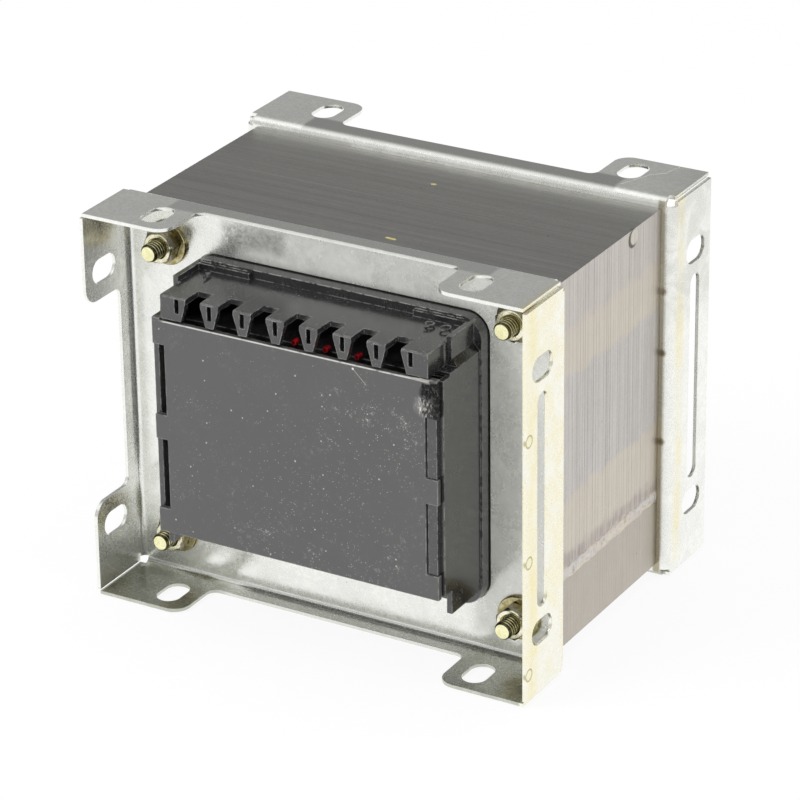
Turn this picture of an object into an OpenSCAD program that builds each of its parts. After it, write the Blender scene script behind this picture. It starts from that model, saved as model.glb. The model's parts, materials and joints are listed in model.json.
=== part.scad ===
// Chassis mount transformer: laminated core held between two pressed steel end frames
// Millimetres, +Z up, origin under the middle of the core at the level it stands on
// X runs across the core, Y runs through the lamination stack, the nuts are on the -Y side

/* [Core] */
// Width of the laminated core, which sets its legs, windows and height
core_width = 120; // [104:1:144]
// Depth of the lamination stack between the end frames
stack_depth = 56.4; // [40:0.2:90]
// Height of the core's middle above the frames' middle
core_rise = 0.6; // [0:0.1:1]
// Distance of the through bolts from the core's edges
bolt_inset = 9.3; // [8.5:0.1:10]
// Diameter of the bolt holes through the laminations
core_hole = 6.2; // [5.6:0.1:7.4]
// Radius of the welds that join the E stack and the I stack
weld_radius = 1.6; // [1:0.1:2]
// How far the welds stand out of the core's sides
weld_proud = 0.4; // [0.2:0.1:0.8]

/* [End frames] */
// How far a frame stands out past each side of the core
frame_side_reach = 3.4; // [3:0.1:5]
// How far a frame stands out above and below the core
frame_end_reach = 3.5; // [3.2:0.1:5]
// Depth of a frame from its free edge to the core
frame_depth = 21.3; // [19:0.1:30]
// Thickness of the frames' sheet steel
sheet = 1; // [0.8:0.1:1.2]
// Outside radius of the bends
bend_radius = 2.5; // [2:0.1:3]
// How far the top and bottom flanges stop short of the frame's sides
flange_end_gap = 0.8; // [0.5:0.1:1.2]
// How far the side flanges stop short of the frame's top and bottom
side_end_gap = 1.4; // [1.3:0.1:2]
// Width of an ear measured from the frame's corner
ear_width = 25.6; // [24:0.1:28]
// Depth of the narrow strip between two ears
strip_depth = 6.2; // [5:0.1:8]
// Radius of the ears' outer corners
ear_corner = 4.5; // [3:0.1:5]
// Radius in the roots of the ears
ear_root = 2.5; // [1:0.1:3.5]
// Distance of a fixing slot's middle from the frame's corner
slot_inset = 18; // [17.4:0.1:18.5]
// Distance of the slots' middle from a flange's free edge
slot_setback = 8.4; // [7.5:0.1:9]
// Width of the fixing slots
slot_width = 6.6; // [5:0.1:7.2]
// Length of the fixing slots
slot_length = 10.4; // [9:0.1:11]
// Width of the long slot in the plain side flange
long_slot_width = 5.2; // [3:0.1:6]
// Distance of the long slot's ends from the frame's corners
long_slot_margin = 24.6; // [23.5:0.1:32]
// Distance from the winding window to the opening's edge, above and below
opening_margin = 9.6; // [8:0.1:10.5]
// Corner radius of the opening
opening_corner = 6; // [4:0.5:8]

/* [Through bolts] */
// Diameter of the through bolts
bolt_diameter = 5; // [4:0.1:5.1]
// Diameter of the bolt holes in the end frames
frame_hole = 5.5; // [5.3:0.1:6]
// How far the bolt ends stand out of the front frame's plate
bolt_reach = 9.3; // [7:0.1:14]
// Width across flats of the nuts and bolt heads
nut_width = 8; // [7.5:0.1:8.5]
// Thickness of the nuts
nut_thickness = 4; // [2.8:0.1:4.5]
// Thickness of the bolt heads
head_thickness = 3.4; // [2:0.1:4]
// Free play between a nut and its bolt
thread_play = 0.1; // [0.05:0.05:0.2]
// Outside diameter of the washers
washer_diameter = 12; // [10:0.1:12.4]
// Hole diameter of the washers
washer_hole = 5.3; // [5.2:0.1:5.8]
// Thickness of the washers
washer_thickness = 1.1; // [0.5:0.1:1.5]

/* [Winding] */
// Wall thickness of the bobbin
bobbin_wall = 1.4; // [1:0.1:2]
// Free play between the bobbin and the core
bobbin_play = 0.3; // [0.2:0.1:0.5]
// How far the winding stays inside the edge of the bobbin flanges
winding_inset = 1; // [0.5:0.1:2]
// Corner radius of the winding
winding_corner = 6; // [3:0.5:8]

/* [Hoods] */
// Thickness of the collar that fills a frame's opening
collar_thickness = 4.6; // [3:0.1:6]
// How far a collar stands out past the hood's side walls
collar_rim = 0.5; // [0.3:0.1:1.5]
// Free play between a collar and the frame's opening
collar_play = 0.3; // [0.3:0.1:0.8]
// Wall thickness of the hoods
hood_wall = 1.5; // [1.2:0.1:1.8]
// Free play between the bobbin flanges and a hood's side walls
hood_play = 0.4; // [0.3:0.1:1]
// How far the hood top is narrower than the side walls, on each side
top_inset = 1.7; // [1.6:0.1:3]
// How far the front of the hood top is narrower again, on each side
shoulder_inset = 1.7; // [0.5:0.1:2]
// Distance from the terminal walls back to the shoulders
shoulder_setback = 8.7; // [7.7:0.1:13]
// Height of the hood top above the winding window
hood_rise = 7; // [5.6:0.1:8]
// Distance of the cover plate's back from the bobbin flanges
cover_clearance = 3.2; // [2.6:0.1:6]
// Depth of a side wall's front edge behind the cover plate
cheek_gap = 0.3; // [0.2:0.1:0.5]
// Depth of the lip along a side wall's front edge
lip_depth = 3.4; // [2:0.1:3.4]
// Height of the lip's lower end above the winding window's foot
lip_lift = 1.9; // [0.5:0.1:4]
// How far the side walls reach below the winding window
foot_drop = 4.5; // [2:0.1:8]
// Thickness of the step between the upper and the lower side walls
step_thickness = 0.9; // [0.7:0.1:1.4]
// Height of the slope between the upper and the lower side walls
slope_height = 2; // [1:0.1:4]
// Height of the rims along the sides of the hood top
rim_rise = 1.5; // [0.5:0.1:2]
// Height of the ledge bars in the corners of the hood top
ledge_rise = 1.6; // [0.5:0.1:2]
// Width of the ledge bars
ledge_width = 1.2; // [0.8:0.1:2]
// Length of the ledge bars
ledge_length = 14.8; // [8:0.1:18]

/* [Terminals] */
// Width of the solid blocks at the ends of the terminal row, from the last wire slot's middle
end_block_width = 4.8; // [3.5:0.1:6]
// Depth of the terminal walls' front behind the cover plate's front
wall_setback = 0.3; // [0:0.1:0.6]
// Width of a terminal wall at its top
wall_top_width = 5.2; // [4:0.1:5.6]
// Width of a terminal wall at its bottom
wall_bottom_width = 2.3; // [2:0.1:3.5]
// Height of the terminal walls' lower ends above the cover plate
wall_lift = 0.6; // [0.3:0.1:1]
// Height of the straight part at the top of a terminal wall
wall_straight = 1.2; // [0.8:0.1:1.8]
// Width of the bevel along the hood's front top edge
front_bevel = 0.3; // [0.2:0.1:0.6]
// Depth of the openings between the terminal walls
notch_depth = 6.2; // [4:0.1:7.5]
// Width of the wire slot in a terminal wall
wire_slot_width = 1.2; // [0.8:0.1:1.3]
// Height of the wire slot in a terminal wall
wire_slot_height = 3.8; // [2.4:0.1:4]
// Distance of the wire slot's top from the hood top
wire_slot_drop = 0.5; // [0.4:0.1:0.8]
// Diameter of the red lead ends
lead_diameter = 1.5; // [1:0.1:2]
// Length of the red lead ends that lies on the bobbin flange
lead_rest = 1.8; // [1:0.1:4]
// Number of red lead ends, side by side from the middle opening to the right
leads = 3; // [1:1:4]

/* [Covers] */
// Height of the cover plate's lower edge above the winding window's foot
cover_lift = 1.2; // [0.5:0.1:2]
// How far a cover plate stands out past the bobbin flanges on each side
cover_overlap = 1.1; // [0.5:0.1:2]
// Width of the raised corners at the ends of a cover plate's top
cover_ear = 2.2; // [1:0.1:2.2]
// Height of the raised corners
cover_ear_rise = 0.6; // [0.2:0.1:1]
// Thickness of a cover plate
cover_thickness = 1.5; // [1:0.1:2]
// Depth of the edge slots cut in from a cover's sides
edge_slot_depth = 3.4; // [2:0.1:4]
// Distance of the edge slots from a cover's upper and lower edges
edge_slot_margin = 6.6; // [5:0.1:9]
// Height of the tongue left between two edge slots
edge_slot_bridge = 6.8; // [4:0.1:9]

/* [Hidden] */
$fn = 48;
// Extra length of a cutting shape past the face it cuts
cut_over = 1;
core_height = core_width * 5 / 6;
leg_width = core_width / 6;
window_outer = core_width / 2 - leg_width;
window_height = core_width / 2;
half_stack = stack_depth / 2;

frame_width = core_width + 2 * frame_side_reach;
frame_height = core_height + 2 * frame_end_reach;
frame_middle = frame_height / 2;
core_middle = frame_middle + core_rise;
core_bottom = core_middle - core_height / 2;
window_bottom = core_bottom + leg_width;
window_top = window_bottom + window_height;
plate_face = half_stack + sheet;
bolt_x = core_width / 2 - bolt_inset;
bolt_z = core_height / 2 - bolt_inset;
bolt_front = plate_face + bolt_reach;
head_seat = plate_face + washer_thickness;

bobbin_inner_x = 2 * leg_width + 2 * bobbin_play;
bobbin_inner_y = stack_depth + 2 * bobbin_play;
bobbin_outer_x = bobbin_inner_x + 2 * bobbin_wall;
bobbin_outer_y = bobbin_inner_y + 2 * bobbin_wall;
bobbin_bottom = window_bottom + bobbin_play;
bobbin_height = window_height - 2 * bobbin_play;
flange_half_x = window_outer - bobbin_play;
flange_half_y = bobbin_outer_y / 2 + flange_half_x - bobbin_outer_x / 2;
winding_half_x = flange_half_x - winding_inset;
winding_half_y = flange_half_y - winding_inset;

cover_back = flange_half_y + cover_clearance;
cover_half = flange_half_x + cover_overlap;
cover_bottom = window_bottom + cover_lift;
cover_height = window_top - cover_bottom;
cover_slot_height = (cover_height - 2 * edge_slot_margin - edge_slot_bridge) / 2;

hood_half = flange_half_x + hood_play + hood_wall;
hood_top = window_top + hood_rise;
hood_front = cover_back + cover_thickness - wall_setback;
top_half = hood_half - top_inset;
front_half = top_half - shoulder_inset;
shoulder_y = hood_front - shoulder_setback;
cheek_front = cover_back - cheek_gap;
foot_front = cheek_front - lip_depth;
step_top = window_top + step_thickness;
collar_face = half_stack + collar_thickness;
collar_half = hood_half + collar_rim;
opening_half = collar_half + collar_play;
opening_height = window_height + 2 * opening_margin;
wall_foot = window_top + wall_lift;

positions = 8;
last_terminal = front_half - end_block_width;
terminal_pitch = 2 * last_terminal / (positions - 1);

// ---- helpers ----

// Flat rectangle with rounded corners, centred
module rounded_rectangle(width, height, corner) {
    square([width - 2 * corner, height], center = true);
    square([width, height - 2 * corner], center = true);
    for (x = [-1, 1], y = [-1, 1]) {
        translate([x * (width / 2 - corner), y * (height / 2 - corner)]) circle(r = corner);
    }
}

// Flat slot with round ends, long along its second axis, centred
module round_slot(width, length) {
    square([width, length - width], center = true);
    for (end = [-1, 1]) {
        translate([0, end * (length - width) / 2]) circle(d = width);
    }
}

// Extrudes a flat shape drawn in X and Z towards -Y, starting at the given distance behind Y = 0
module toward_front(start, length) {
    translate([0, -start, 0]) rotate([90, 0, 0]) linear_extrude(height = length) children();
}

// Draws its children on both sides of X = 0
module both_sides() {
    children();
    mirror([1, 0, 0]) children();
}

// Copies its front side children to the rear side
module on_rear() {
    mirror([0, 1, 0]) children();
}

// ---- core ----

// Bolt holes and weld grooves through the whole stack
module stack_cuts() {
    for (x = [-1, 1], z = [-1, 1]) {
        translate([x * bolt_x, 0, frame_middle + z * bolt_z]) rotate([90, 0, 0])
            cylinder(d = core_hole, h = stack_depth + 2 * cut_over, center = true);
    }
    for (x = [-1, 1]) {
        translate([x * core_width / 2, 0, window_bottom]) rotate([90, 0, 0])
            cylinder(r = weld_radius, h = stack_depth + 2 * cut_over, center = true);
    }
}

module core_e_stack() {
    color([0.42, 0.40, 0.39])
    difference() {
        toward_front(-half_stack, stack_depth) difference() {
            translate([-core_width / 2, window_bottom])
                square([core_width, core_height - leg_width]);
            for (side = [-1, 1]) {
                translate([side * (window_outer + leg_width) / 2, window_bottom])
                    square([leg_width, 2 * window_height], center = true);
            }
        }
        stack_cuts();
    }
}

module core_i_stack() {
    color([0.47, 0.45, 0.43])
    difference() {
        translate([-core_width / 2, -half_stack, core_bottom])
            cube([core_width, stack_depth, leg_width]);
        stack_cuts();
    }
}

// One weld bead along each side of the core where the E stack meets the I stack
module core_welds() {
    color([0.70, 0.66, 0.50])
    both_sides() intersection() {
        translate([core_width / 2, 0, window_bottom]) rotate([90, 0, 0])
            cylinder(r = weld_radius, h = stack_depth, center = true);
        translate([core_width / 2 + weld_proud - weld_radius, 0, window_bottom])
            cube([2 * weld_radius, stack_depth, 2 * weld_radius], center = true);
    }
}

// ---- end frames ----

// Cross-section of a bend, first axis away from the core, second axis outward
module bend_profile() {
    intersection() {
        translate([bend_radius, 0]) difference() {
            circle(r = bend_radius);
            circle(r = bend_radius - sheet);
        }
        square([bend_radius, bend_radius]);
    }
}

// Flat outline of a flange with two ears, first axis along the flange, second away from the core
module eared_outline(frame_size, end_gap) {
    length = frame_size - 2 * end_gap;
    ear_start = frame_size / 2 - ear_width;
    difference() {
        union() {
            translate([-length / 2, bend_radius]) square([length, strip_depth - bend_radius]);
            for (side = [0, 1]) mirror([side, 0]) {
                translate([ear_start, bend_radius])
                    square([ear_width - end_gap, frame_depth - bend_radius - ear_corner]);
                translate([ear_start + ear_corner, bend_radius])
                    square([ear_width - end_gap - ear_corner, frame_depth - bend_radius]);
                translate([ear_start + ear_corner, frame_depth - ear_corner])
                    circle(r = ear_corner);
                difference() {
                    translate([ear_start - ear_root, strip_depth - sheet])
                        square([ear_root + sheet, ear_root + sheet]);
                    translate([ear_start - ear_root, strip_depth + ear_root])
                        circle(r = ear_root);
                }
            }
        }
        fixing_slots(frame_size);
    }
}

module fixing_slots(frame_size) {
    for (side = [-1, 1]) {
        translate([side * (frame_size / 2 - slot_inset), frame_depth - slot_setback])
            round_slot(slot_width, slot_length);
    }
}

// Flat outline of the plain right flange, first axis up, second away from the core
module plain_outline() {
    length = frame_height - 2 * side_end_gap;
    difference() {
        translate([-length / 2, bend_radius]) square([length, frame_depth - bend_radius]);
        fixing_slots(frame_height);
        translate([0, frame_depth - slot_setback]) rotate([0, 0, 90])
            round_slot(long_slot_width, frame_height - 2 * long_slot_margin);
    }
}

// Top flange with its bend
module top_flange() {
    translate([0, -half_stack, frame_middle - sheet]) mirror([0, 1, 0])
        linear_extrude(height = sheet) eared_outline(frame_width, flange_end_gap);
    translate([bend_radius - frame_width / 2, -half_stack, frame_middle - bend_radius])
        rotate([90, 0, 90]) linear_extrude(height = frame_width - 2 * bend_radius)
        mirror([1, 0]) bend_profile();
}

// Stands a flange outline up in the plane of the frame's side, its outer face at the given X
module side_flange(outer) {
    translate([outer, -half_stack, 0]) rotate([0, -90, 0]) mirror([0, 1, 0])
        linear_extrude(height = sheet) children();
}

module end_frame() {
    translate([0, 0, frame_middle]) {
        // Plate against the core, with the winding's opening and the bolt holes
        toward_front(half_stack, sheet) difference() {
            square([frame_width - 2 * bend_radius, frame_height - 2 * bend_radius], center = true);
            translate([0, core_rise])
                rounded_rectangle(2 * opening_half, opening_height, opening_corner);
            for (x = [-1, 1], z = [-1, 1]) {
                translate([x * bolt_x, z * bolt_z]) circle(d = frame_hole);
            }
        }
        top_flange();
        mirror([0, 0, 1]) top_flange();
        side_flange(sheet - frame_width / 2) eared_outline(frame_height, side_end_gap);
        side_flange(frame_width / 2) plain_outline();
        // Side bends
        both_sides()
            translate([frame_width / 2 - bend_radius, -half_stack, bend_radius - frame_middle])
            linear_extrude(height = frame_height - 2 * bend_radius)
            rotate([0, 0, -90]) bend_profile();
    }
}

module front_frame() {
    color([0.78, 0.78, 0.74]) end_frame();
}

module rear_frame() {
    color([0.78, 0.78, 0.74]) on_rear() end_frame();
}

// ---- bobbin and winding ----

// Flat ring round the middle leg, drawn in X and Y
module leg_ring(half_x, half_y) {
    difference() {
        square([2 * half_x, 2 * half_y], center = true);
        square([bobbin_inner_x, bobbin_inner_y], center = true);
    }
}

module bobbin() {
    color([0.10, 0.10, 0.11]) translate([0, 0, bobbin_bottom]) {
        linear_extrude(height = bobbin_height) leg_ring(bobbin_outer_x / 2, bobbin_outer_y / 2);
        for (z = [0, bobbin_height - bobbin_wall]) {
            translate([0, 0, z]) linear_extrude(height = bobbin_wall)
                leg_ring(flange_half_x, flange_half_y);
        }
    }
}

module winding() {
    color([0.20, 0.20, 0.20]) translate([0, 0, bobbin_bottom + bobbin_wall])
        linear_extrude(height = bobbin_height - 2 * bobbin_wall) difference() {
            rounded_rectangle(2 * winding_half_x, 2 * winding_half_y, winding_corner);
            square([bobbin_outer_x, bobbin_outer_y], center = true);
        }
}

// ---- hoods ----

// Tapered front wall of one terminal position
module terminal_wall() {
    shoulder = hood_top - wall_straight;
    toward_front(hood_front - hood_wall, hood_wall)
        polygon([[-wall_top_width / 2, hood_top], [wall_top_width / 2, hood_top],
                 [wall_top_width / 2, shoulder], [wall_bottom_width / 2, wall_foot],
                 [-wall_bottom_width / 2, wall_foot], [-wall_top_width / 2, shoulder]]);
}

// Wire slot through a terminal wall, reaching up into the edge of the top plate
module wire_slot() {
    translate([-wire_slot_width / 2, -hood_front - cut_over, hood_top - wire_slot_drop - wire_slot_height])
        cube([wire_slot_width, hood_wall + 2 * cut_over, wire_slot_height]);
}

// Outline of the hood top in X and distance from the middle, openings cut out
module hood_top_outline() {
    opening = terminal_pitch - wall_top_width;
    difference() {
        union() {
            translate([-top_half, collar_face - hood_wall])
                square([2 * top_half, shoulder_y - collar_face + hood_wall]);
            translate([-front_half, collar_face]) square([2 * front_half, hood_front - collar_face]);
        }
        for (i = [0.5 : positions - 1.5]) {
            translate([i * terminal_pitch - last_terminal - opening / 2, hood_front - notch_depth])
                square([opening, notch_depth + cut_over]);
        }
    }
}

module hood_side() {
    // Solid corner outside the last wire slot
    translate([last_terminal + wire_slot_width / 2, -hood_front, wall_foot])
        cube([end_block_width - wire_slot_width / 2, notch_depth, hood_top - wall_foot]);
    // Side of the terminal row
    translate([front_half - hood_wall, -hood_front, wall_foot])
        cube([hood_wall, shoulder_setback + hood_wall, hood_top - wall_foot]);
    // Upper side wall behind the shoulder, from the slope up to the rim
    toward_front(collar_face - hood_wall, shoulder_y - collar_face + hood_wall) polygon([
        [top_half - hood_wall, window_top], [hood_half, window_top], [hood_half, step_top],
        [top_half, step_top + slope_height], [top_half, hood_top + rim_rise],
        [top_half - hood_wall, hood_top + rim_rise]]);
    // Step beside the terminal row
    translate([front_half - hood_wall, -foot_front, window_top])
        cube([hood_half - front_half + hood_wall, foot_front - shoulder_y + hood_wall,
              step_thickness]);
    // Lower side wall, with its foot set back behind the front lip
    translate([hood_half - hood_wall, 0, 0]) rotate([90, 0, 90])
        linear_extrude(height = hood_wall) union() {
            translate([-foot_front, window_bottom - foot_drop])
                square([foot_front - collar_face + hood_wall,
                        window_height + foot_drop + step_thickness]);
            translate([-cheek_front, window_bottom + lip_lift])
                square([lip_depth + hood_wall, window_height - lip_lift]);
        }
    // Ledge bar in the corner between the rim and the collar
    translate([top_half - hood_wall - ledge_length, -collar_face - ledge_width, hood_top])
        cube([ledge_length, ledge_width, ledge_rise]);
}

module hood() {
    difference() {
        union() {
            // Collar in the frame's opening
            toward_front(half_stack, collar_thickness) translate([0, core_middle]) difference() {
                rounded_rectangle(2 * collar_half, opening_height - 2 * collar_play,
                                  opening_corner - collar_play);
                square([2 * flange_half_x + 2 * bobbin_play, window_height], center = true);
            }
            // Top plate with the openings between the terminal walls
            translate([0, 0, hood_top - hood_wall]) mirror([0, 1, 0])
                linear_extrude(height = hood_wall) hood_top_outline();
            for (i = [0 : positions - 1]) {
                translate([i * terminal_pitch - last_terminal, 0, 0]) terminal_wall();
            }
            both_sides() hood_side();
            // Lower wall under the winding
            translate([hood_wall - hood_half, hood_wall - foot_front, window_bottom - hood_wall])
                cube([2 * hood_half - 2 * hood_wall, foot_front - collar_face, hood_wall]);
        }
        for (i = [0 : positions - 1]) {
            translate([i * terminal_pitch - last_terminal, 0, 0]) wire_slot();
        }
        // Bevel along the front top edge
        translate([0, -hood_front, hood_top]) rotate([45, 0, 0])
            cube([2 * hood_half, front_bevel * sqrt(2), front_bevel * sqrt(2)], center = true);
    }
}

module front_hood() {
    color([0.08, 0.08, 0.09]) hood();
}

module rear_hood() {
    color([0.08, 0.08, 0.09]) on_rear() hood();
}

module cover() {
    slot_places = [edge_slot_margin, cover_height - edge_slot_margin - cover_slot_height];
    toward_front(cover_back, cover_thickness) difference() {
        translate([-cover_half, cover_bottom])
            square([2 * cover_half, cover_height + cover_ear_rise]);
        translate([cover_ear - cover_half, window_top])
            square([2 * (cover_half - cover_ear), cover_ear_rise + cut_over]);
        for (side = [0, 1], z = slot_places) {
            mirror([side, 0]) translate([cover_half - edge_slot_depth, cover_bottom + z])
                square([edge_slot_depth + cut_over, cover_slot_height]);
        }
    }
}

module front_cover() {
    color([0.09, 0.09, 0.10]) cover();
}

module rear_cover() {
    color([0.09, 0.09, 0.10]) on_rear() cover();
}

// Red ends of the winding's leads lying on the bobbin flange behind the terminal walls
module lead_ends() {
    color([0.70, 0.05, 0.05])
    for (i = [0 : leads - 1]) {
        translate([i * terminal_pitch, 0, bobbin_bottom + bobbin_height + lead_diameter / 2])
            toward_front(flange_half_y - lead_rest, cheek_front - flange_half_y + lead_rest)
            circle(d = lead_diameter);
    }
}

// ---- through bolts, nuts and washers ----

// Places its children at one corner of the frames
module at_corner(x, z) {
    translate([x * bolt_x, 0, frame_middle + z * bolt_z]) children();
}

// Flat hexagon of the nuts and bolt heads
module hexagon() {
    circle(d = nut_width / cos(30), $fn = 6);
}

module bolt(x, z) {
    color([0.80, 0.78, 0.62]) at_corner(x, z) {
        toward_front(-head_seat, head_seat + bolt_front) circle(d = bolt_diameter);
        toward_front(-head_seat - head_thickness, head_thickness) hexagon();
    }
}

module nut(x, z) {
    color([0.80, 0.78, 0.62]) at_corner(x, z)
    toward_front(head_seat, nut_thickness) difference() {
        hexagon();
        circle(d = bolt_diameter + thread_play);
    }
}

module washer(x, z, start) {
    color([0.74, 0.73, 0.64]) at_corner(x, z)
    toward_front(start, washer_thickness) difference() {
        circle(d = washer_diameter);
        circle(d = washer_hole);
    }
}

module bolt_upper_left() { bolt(-1, 1); }
module bolt_upper_right() { bolt(1, 1); }
module bolt_lower_left() { bolt(-1, -1); }
module bolt_lower_right() { bolt(1, -1); }

module nut_upper_left() { nut(-1, 1); }
module nut_upper_right() { nut(1, 1); }
module nut_lower_left() { nut(-1, -1); }
module nut_lower_right() { nut(1, -1); }

module front_washer_upper_left() { washer(-1, 1, plate_face); }
module front_washer_upper_right() { washer(1, 1, plate_face); }
module front_washer_lower_left() { washer(-1, -1, plate_face); }
module front_washer_lower_right() { washer(1, -1, plate_face); }

module rear_washer_upper_left() { washer(-1, 1, -head_seat); }
module rear_washer_upper_right() { washer(1, 1, -head_seat); }
module rear_washer_lower_left() { washer(-1, -1, -head_seat); }
module rear_washer_lower_right() { washer(1, -1, -head_seat); }

core_e_stack();
core_i_stack();
core_welds();
front_frame();
rear_frame();
bobbin();
winding();
front_hood();
rear_hood();
front_cover();
rear_cover();
lead_ends();
bolt_upper_left();
bolt_upper_right();
bolt_lower_left();
bolt_lower_right();
nut_upper_left();
nut_upper_right();
nut_lower_left();
nut_lower_right();
front_washer_upper_left();
front_washer_upper_right();
front_washer_lower_left();
front_washer_lower_right();
rear_washer_upper_left();
rear_washer_upper_right();
rear_washer_lower_left();
rear_washer_lower_right();
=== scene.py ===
"""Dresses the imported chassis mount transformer: laminations, threads, finishes, lamps and camera."""

import json
import math
import random

import bmesh
import bpy
from mathutils import Matrix, Vector, noise

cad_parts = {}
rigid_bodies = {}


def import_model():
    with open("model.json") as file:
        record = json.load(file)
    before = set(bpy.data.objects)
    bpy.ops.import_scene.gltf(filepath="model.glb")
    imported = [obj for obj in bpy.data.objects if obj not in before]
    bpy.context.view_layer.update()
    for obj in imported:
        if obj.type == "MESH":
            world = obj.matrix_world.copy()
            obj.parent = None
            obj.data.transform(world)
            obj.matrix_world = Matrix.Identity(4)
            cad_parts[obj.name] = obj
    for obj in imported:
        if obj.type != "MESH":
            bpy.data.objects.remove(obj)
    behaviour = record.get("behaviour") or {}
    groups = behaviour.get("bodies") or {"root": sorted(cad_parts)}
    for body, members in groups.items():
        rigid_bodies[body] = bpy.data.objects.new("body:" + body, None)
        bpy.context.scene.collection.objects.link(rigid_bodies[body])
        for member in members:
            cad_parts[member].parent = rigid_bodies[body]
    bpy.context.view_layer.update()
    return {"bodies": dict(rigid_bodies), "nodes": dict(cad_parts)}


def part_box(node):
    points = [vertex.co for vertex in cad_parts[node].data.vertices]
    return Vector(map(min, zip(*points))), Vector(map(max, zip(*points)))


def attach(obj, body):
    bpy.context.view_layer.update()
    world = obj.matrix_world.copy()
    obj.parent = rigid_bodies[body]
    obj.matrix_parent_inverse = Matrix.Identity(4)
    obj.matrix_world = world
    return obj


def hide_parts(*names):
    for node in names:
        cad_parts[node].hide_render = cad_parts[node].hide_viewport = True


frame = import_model()

BODY = list(frame["bodies"])[0]
NODES = frame["nodes"]
MM = 0.001
FRONT = -1
REAR = 1


def node_box(name):
    """Lowest and highest corner of a solid, in millimetres."""
    low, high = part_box(name)
    return low / MM, high / MM


core_low, core_high = node_box("core_e_stack")
yoke_low = node_box("core_i_stack")[0]
hood_low, hood_high = node_box("front_hood")
cover_low, cover_high = node_box("front_cover")
frame_low = node_box("front_frame")[0]
winding_low, winding_high = node_box("winding")


# ---- node trees ----


class Tree:
    """Adds and joins the nodes of one material or group."""

    def __init__(self, tree):
        self.nodes = tree.nodes
        self.links = tree.links

    def put(self, socket, value):
        if isinstance(value, bpy.types.NodeSocket):
            self.links.new(value, socket)
        else:
            socket.default_value = value

    def add(self, kind, inputs=None, **settings):
        made = self.nodes.new(kind)
        for name, value in settings.items():
            setattr(made, name, value)
        for name, value in (inputs or {}).items():
            self.put(made.inputs[name], value)
        return made

    def math(self, operation, *values):
        made = self.add("ShaderNodeMath", operation=operation)
        for index, value in enumerate(values):
            self.put(made.inputs[index], value)
        return made.outputs[0]

    def vector(self, operation, *values):
        made = self.add("ShaderNodeVectorMath", operation=operation)
        for index, value in enumerate(values):
            self.put(made.inputs[index], value)
        return made.outputs[1] if operation in ("LENGTH", "DOT_PRODUCT") else made.outputs[0]

    def scaled(self, vector, factor):
        made = self.add("ShaderNodeVectorMath", operation="SCALE")
        self.put(made.inputs[0], vector)
        self.put(made.inputs["Scale"], factor)
        return made.outputs[0]

    def span(self, value, low, high, start=0.0, end=1.0):
        """Maps low..high to start..end, clamped, with soft ends."""
        made = self.add("ShaderNodeMapRange", interpolation_type="SMOOTHSTEP")
        for index, given in enumerate((value, low, high, start, end)):
            self.put(made.inputs[index], given)
        return made.outputs[0]

    def mix(self, share, first, second, way="MIX"):
        made = self.add("ShaderNodeMix", data_type="RGBA", blend_type=way)
        self.put(made.inputs[0], share)
        self.put(made.inputs[6], first)
        self.put(made.inputs[7], second)
        return made.outputs[2]

    def use(self, group, **inputs):
        made = self.add("ShaderNodeGroup", node_tree=group)
        for name, value in inputs.items():
            self.put(made.inputs[name.replace("_", " ")], value)
        return made.outputs

    def millimetres(self):
        return self.scaled(self.add("ShaderNodeTexCoord").outputs["Object"], 1000.0)


def effect(name, outputs, **inputs):
    """Starts a node group over a place in millimetres; returns it, its tree, inputs and outputs."""
    group = bpy.data.node_groups.new(name, "ShaderNodeTree")
    for label, value in {"Vector": (0, 0, 0), **inputs}.items():
        kind = "NodeSocketVector" if isinstance(value, tuple) else "NodeSocketFloat"
        group.interface.new_socket(label, in_out="INPUT", socket_type=kind).default_value = value
    for label in outputs:
        group.interface.new_socket(label, in_out="OUTPUT", socket_type="NodeSocketFloat")
    tree = Tree(group)
    return group, tree, tree.add("NodeGroupInput").outputs, tree.add("NodeGroupOutput").inputs


def make_patches():
    """Cloudy patches of a given size, 0 to 1."""
    group, tree, given, out = effect("cloudy_patches", ("Value",), Size=4.0, Low=0.4, High=0.6,
                                     Warp=0.3)
    scale = tree.math("DIVIDE", 1.0, given["Size"])
    field = tree.add("ShaderNodeTexNoise", {"Vector": tree.scaled(given["Vector"], scale),
                                            "Scale": 1.0, "Detail": 3.0, "Roughness": 0.6,
                                            "Distortion": given["Warp"]})
    tree.put(out["Value"], tree.span(field.outputs[0], given["Low"], given["High"]))
    return group


def make_specks():
    """Scattered round specks; Share is how many of the places hold one."""
    group, tree, given, out = effect("specks", ("Mask",), Spacing=2.0, Radius=0.1, Share=0.5)
    scale = tree.math("DIVIDE", 1.0, given["Spacing"])
    cells = tree.add("ShaderNodeTexVoronoi", {"Vector": tree.scaled(given["Vector"], scale),
                                              "Scale": 1.0, "Randomness": 1.0})
    distance = tree.math("MULTIPLY", cells.outputs["Distance"], given["Spacing"])
    lot = tree.add("ShaderNodeSeparateColor", {"Color": cells.outputs["Color"]})
    radius = tree.math("MULTIPLY", given["Radius"], tree.math("ADD", lot.outputs["Green"], 0.5))
    inside = tree.span(distance, tree.math("MULTIPLY", radius, 0.6), radius, 1.0, 0.0)
    chosen = tree.math("LESS_THAN", lot.outputs["Red"], given["Share"])
    tree.put(out["Mask"], tree.math("MULTIPLY", inside, chosen))
    return group


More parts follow.
